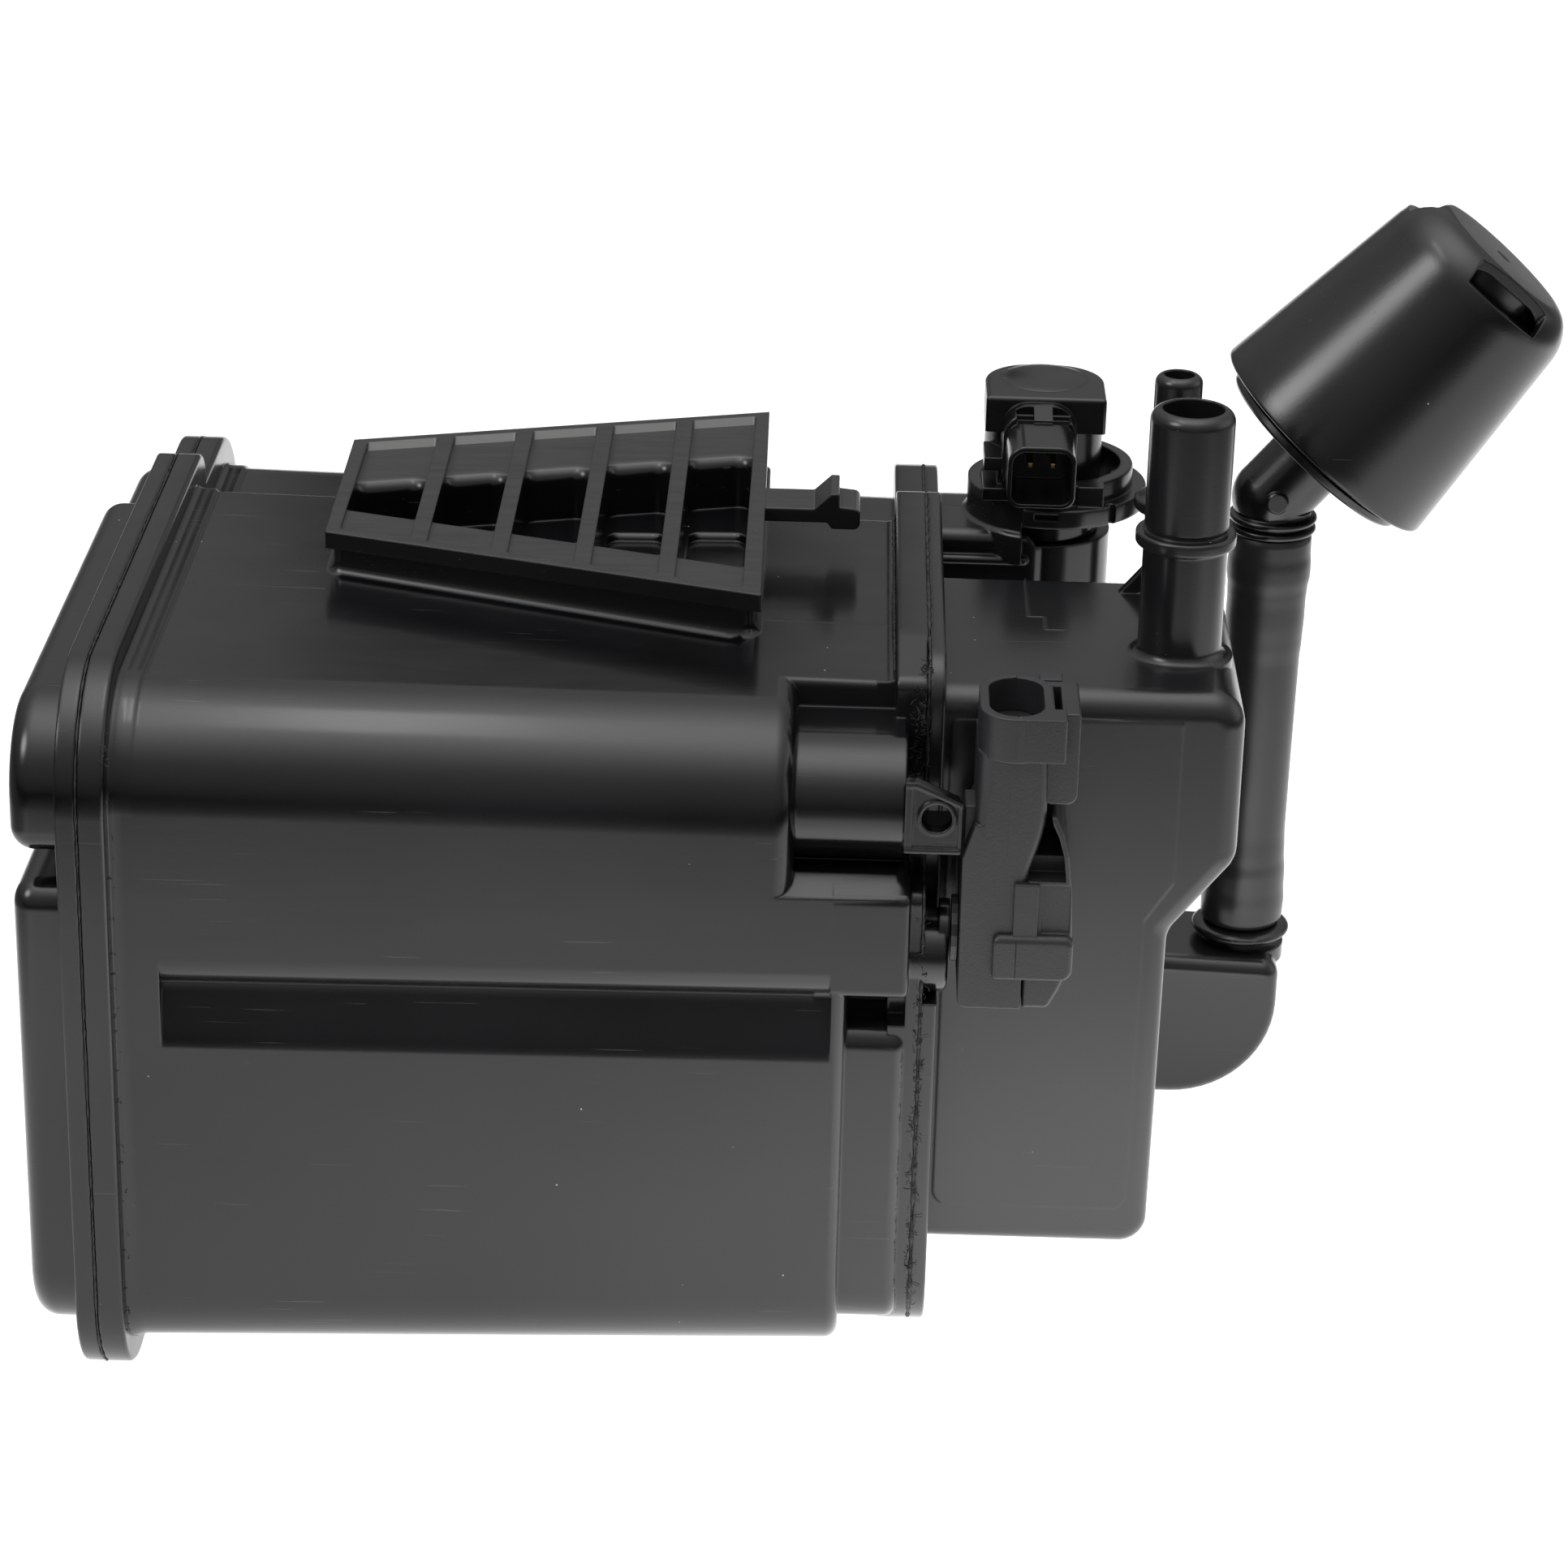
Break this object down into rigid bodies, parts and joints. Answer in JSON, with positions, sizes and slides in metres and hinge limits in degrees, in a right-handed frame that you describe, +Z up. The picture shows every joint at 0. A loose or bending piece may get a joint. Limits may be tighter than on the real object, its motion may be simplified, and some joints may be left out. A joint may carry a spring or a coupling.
{
  "type": "charcoal canister",
  "caption": "Welded black plastic charcoal canister for a fuel-vapour system, with vent valve, pressure sensor, hose, fresh-air filter and vapour ports.",
  "frame": {"origin": "middle of the bounding box, at its bottom (the underside of the left weld flange)", "axes": "+X along the canister from the end cap to the ports, +Y from the front chamber to the rear chamber, +Z up, out of the ports"},
  "size_m": [0.296, 0.186, 0.2011],
  "materials": {
    "black_plastic": "satin injection-moulded glass-filled polyamide, black",
    "grey_plastic": "matte glass-filled polyester, dark grey",
    "hose_rubber": "smooth satin black rubber",
    "carbon": "bed of black pellets, modelled as one solid",
    "fleece": "needled off-white fleece",
    "foam": "open-cell dark grey foam",
    "natural_plastic": "natural unpainted plastic",
    "spring_steel": "drawn wire",
    "core_steel": "plated soft iron",
    "copper": "enamelled copper wire winding",
    "terminal_brass": "bright stamped blades",
    "circuit_board": "green solder-mask board"
  },
  "bodies": {
    "canister": {"bed_spring_lower_1": "spring_steel", "bed_spring_lower_2": "spring_steel", "bed_spring_rear": "spring_steel", "bed_spring_upper": "spring_steel", "canister_body": "black_plastic", "carbon_bed_lower": "carbon", "carbon_bed_rear": "carbon", "carbon_bed_upper": "carbon", "end_cap": "black_plastic", "filter_cap": "black_plastic", "filter_elbow": "black_plastic", "filter_foam": "foam", "filter_retainer": "natural_plastic", "manifold_cover": "black_plastic", "pad_inlet_lower": "fleece", "pad_inlet_rear": "fleece", "pad_inlet_upper": "fleece", "pad_outlet_lower": "fleece", "pad_outlet_rear": "fleece", "pad_outlet_upper": "fleece", "pressure_plate_lower": "natural_plastic", "pressure_plate_rear": "natural_plastic", "pressure_plate_upper": "natural_plastic", "pressure_sensor_board": "circuit_board", "pressure_sensor_cover": "grey_plastic", "pressure_sensor_element": "natural_plastic", "pressure_sensor_gasket": "hose_rubber", "pressure_sensor_housing": "grey_plastic", "pressure_sensor_terminal_a": "terminal_brass", "pressure_sensor_terminal_b": "terminal_brass", "pressure_sensor_terminal_c": "terminal_brass", "vent_hose": "hose_rubber", "vent_valve_bobbin": "natural_plastic", "vent_valve_core": "core_steel", "vent_valve_frame": "core_steel", "vent_valve_housing": "black_plastic", "vent_valve_return_spring": "spring_steel", "vent_valve_seal_ring": "hose_rubber", "vent_valve_seat_plate": "natural_plastic", "vent_valve_terminal_a": "terminal_brass", "vent_valve_terminal_b": "terminal_brass", "vent_valve_winding": "copper"},
    "valve_plunger": {"vent_valve_plunger": "core_steel", "vent_valve_seal": "hose_rubber"}
  },
  "joints": [
    {"name": "valve_plunger_slide", "type": "slide", "parent": "canister", "child": "valve_plunger", "axis": [0, 0, 1], "range_m": [0, 0.002], "stiffness_N_per_m": 300, "springref_m": -0.004, "deforming": ["vent_valve_return_spring"]}
  ]
}
